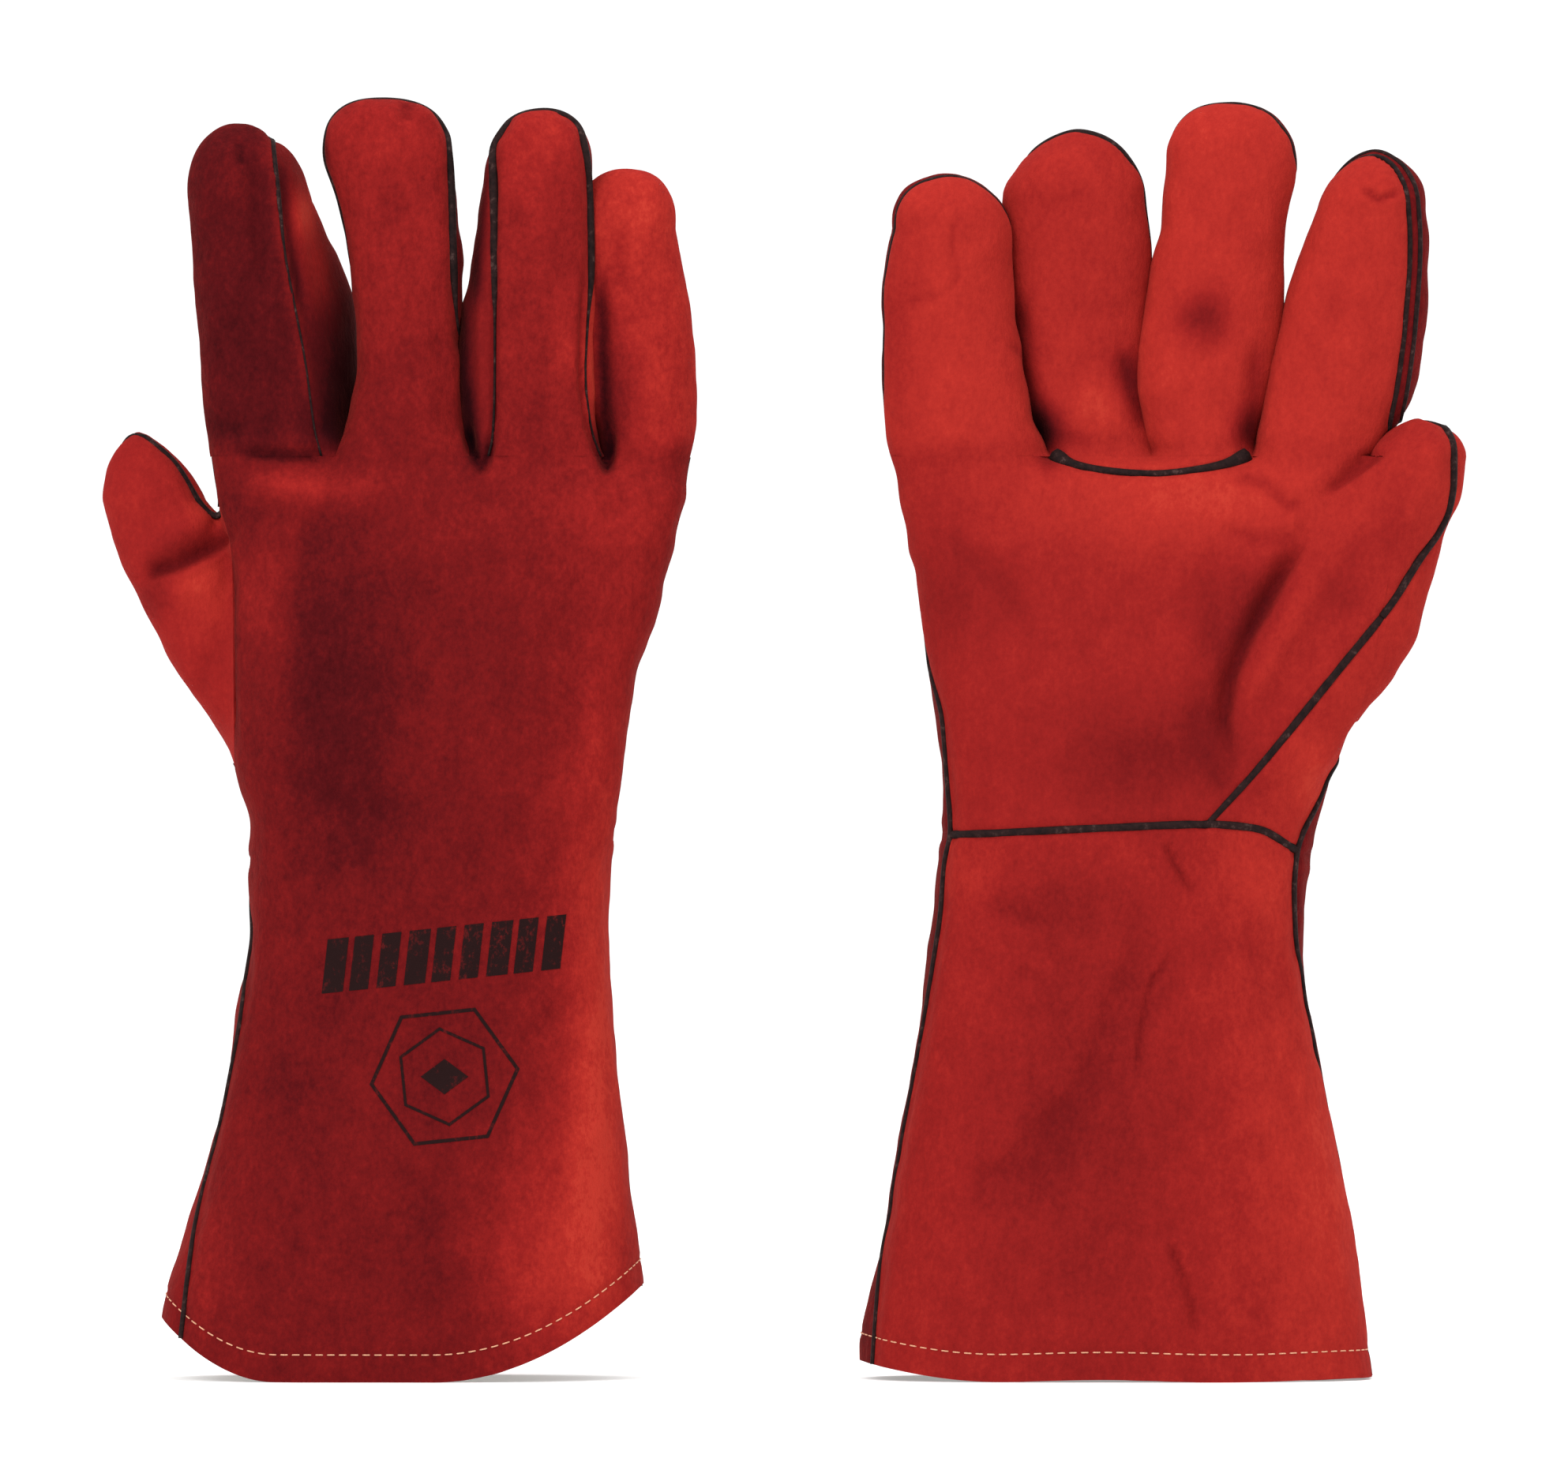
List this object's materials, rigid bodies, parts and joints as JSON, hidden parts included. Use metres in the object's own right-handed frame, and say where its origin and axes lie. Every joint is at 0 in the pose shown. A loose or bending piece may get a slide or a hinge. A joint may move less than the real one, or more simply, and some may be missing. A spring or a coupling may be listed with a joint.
{
  "type": "pair of welding gloves",
  "caption": "Leather welding gauntlets standing on their cuffs, sewn from separate panels with welted seams and linings; wrists, finger roots and thumbs bend.",
  "frame": {"origin": "on the floor under the middle of the pair's bounding box", "axes": "+Z from the cuffs to the fingertips, +X from the first glove to the second, -Y towards whoever sees the first glove's back and the second glove's palm"},
  "size_m": [0.3736, 0.0688, 0.3516],
  "materials": {
    "back_leather": "dark red split cowhide, napped suede",
    "palm_leather": "bright red split cowhide, napped suede",
    "cuff_leather": "red split cowhide, napped suede",
    "welt": "black leather strip, matt",
    "lining": "unbleached cotton fleece and drill"
  },
  "bodies": {
    "glove1_cuff": {"glove1_cuff_back": "back_leather", "glove1_cuff_palm": "cuff_leather", "glove1_cuff_welt": "welt", "glove1_cuff_lining": "lining"},
    "glove1_hand": {"glove1_hand_back": "back_leather", "glove1_palm": "palm_leather", "glove1_hand_lining": "lining", "glove1_finger_root_welt": "welt", "glove1_hand_welt_thumb_side": "welt", "glove1_hand_welt_little_side": "welt"},
    "glove1_thumb": {"glove1_thumb_back": "palm_leather", "glove1_thumb_front": "palm_leather", "glove1_thumb_welt": "welt", "glove1_thumb_lining": "lining"},
    "glove1_index": {"glove1_index_back": "back_leather", "glove1_index_front": "palm_leather", "glove1_index_welt": "welt", "glove1_index_lining": "lining"},
    "glove1_middle": {"glove1_middle_back": "back_leather", "glove1_middle_front": "palm_leather", "glove1_middle_welt": "welt", "glove1_middle_lining": "lining"},
    "glove1_ring": {"glove1_ring_back": "back_leather", "glove1_ring_front": "palm_leather", "glove1_ring_welt": "welt", "glove1_ring_lining": "lining"},
    "glove1_little": {"glove1_little_back": "back_leather", "glove1_little_front": "palm_leather", "glove1_little_welt": "welt", "glove1_little_lining": "lining"},
    "glove2_cuff": {"glove2_cuff_back": "back_leather", "glove2_cuff_palm": "cuff_leather", "glove2_cuff_welt": "welt", "glove2_cuff_lining": "lining"},
    "glove2_hand": {"glove2_hand_back": "back_leather", "glove2_palm": "palm_leather", "glove2_hand_lining": "lining", "glove2_finger_root_welt": "welt", "glove2_hand_welt_thumb_side": "welt", "glove2_hand_welt_little_side": "welt"},
    "glove2_thumb": {"glove2_thumb_back": "palm_leather", "glove2_thumb_front": "palm_leather", "glove2_thumb_welt": "welt", "glove2_thumb_lining": "lining"},
    "glove2_index": {"glove2_index_back": "back_leather", "glove2_index_front": "palm_leather", "glove2_index_welt": "welt", "glove2_index_lining": "lining"},
    "glove2_middle": {"glove2_middle_back": "back_leather", "glove2_middle_front": "palm_leather", "glove2_middle_welt": "welt", "glove2_middle_lining": "lining"},
    "glove2_ring": {"glove2_ring_back": "back_leather", "glove2_ring_front": "palm_leather", "glove2_ring_welt": "welt", "glove2_ring_lining": "lining"},
    "glove2_little": {"glove2_little_back": "back_leather", "glove2_little_front": "palm_leather", "glove2_little_welt": "welt", "glove2_little_lining": "lining"}
  },
  "joints": [
    {"name": "glove2_slide", "type": "slide", "parent": "glove1_cuff", "child": "glove2_cuff", "axis": [1, 0, 0], "range_m": [0, 0.12]},
    {"name": "glove1_wrist", "type": "hinge", "parent": "glove1_cuff", "child": "glove1_hand", "pos_m": [-0.0944, 0.025, 0.152], "axis": [-1, 0, 0], "range_deg": [0, 35]},
    {"name": "glove1_index_bend", "type": "hinge", "parent": "glove1_hand", "child": "glove1_index", "pos_m": [-0.1399, 0.014, 0.254], "axis": [-1, 0, 0], "range_deg": [0, 60]},
    {"name": "glove1_middle_bend", "type": "hinge", "parent": "glove1_hand", "child": "glove1_middle", "pos_m": [-0.1029, 0.014, 0.254], "axis": [-1, 0, 0], "range_deg": [0, 60]},
    {"name": "glove1_ring_bend", "type": "hinge", "parent": "glove1_hand", "child": "glove1_ring", "pos_m": [-0.0669, 0.014, 0.254], "axis": [-1, 0, 0], "range_deg": [0, 60]},
    {"name": "glove1_little_bend", "type": "hinge", "parent": "glove1_hand", "child": "glove1_little", "pos_m": [-0.0371, 0.0125, 0.254], "axis": [-1, 0, 0], "range_deg": [0, 60]},
    {"name": "glove1_thumb_bend", "type": "hinge", "parent": "glove1_hand", "child": "glove1_thumb", "pos_m": [-0.1514, 0.021, 0.165], "axis": [0.0896, 0, -0.996], "range_deg": [0, 40]},
    {"name": "glove2_wrist", "type": "hinge", "parent": "glove2_cuff", "child": "glove2_hand", "pos_m": [0.0956, -0.025, 0.152], "axis": [1, 0, 0], "range_deg": [0, 35]},
    {"name": "glove2_index_bend", "type": "hinge", "parent": "glove2_hand", "child": "glove2_index", "pos_m": [0.1482, -0.015, 0.254], "axis": [1, 0, 0], "range_deg": [0, 60]},
    {"name": "glove2_middle_bend", "type": "hinge", "parent": "glove2_hand", "child": "glove2_middle", "pos_m": [0.1162, -0.012, 0.254], "axis": [1, 0, 0], "range_deg": [0, 60]},
    {"name": "glove2_ring_bend", "type": "hinge", "parent": "glove2_hand", "child": "glove2_ring", "pos_m": [0.0854, -0.012, 0.254], "axis": [1, 0, 0], "range_deg": [0, 60]},
    {"name": "glove2_little_bend", "type": "hinge", "parent": "glove2_hand", "child": "glove2_little", "pos_m": [0.0492, -0.014, 0.254], "axis": [1, 0, 0], "range_deg": [0, 60]},
    {"name": "glove2_thumb_bend", "type": "hinge", "parent": "glove2_hand", "child": "glove2_thumb", "pos_m": [0.1526, -0.021, 0.165], "axis": [-0.1676, 0, -0.9859], "range_deg": [0, 40]}
  ]
}
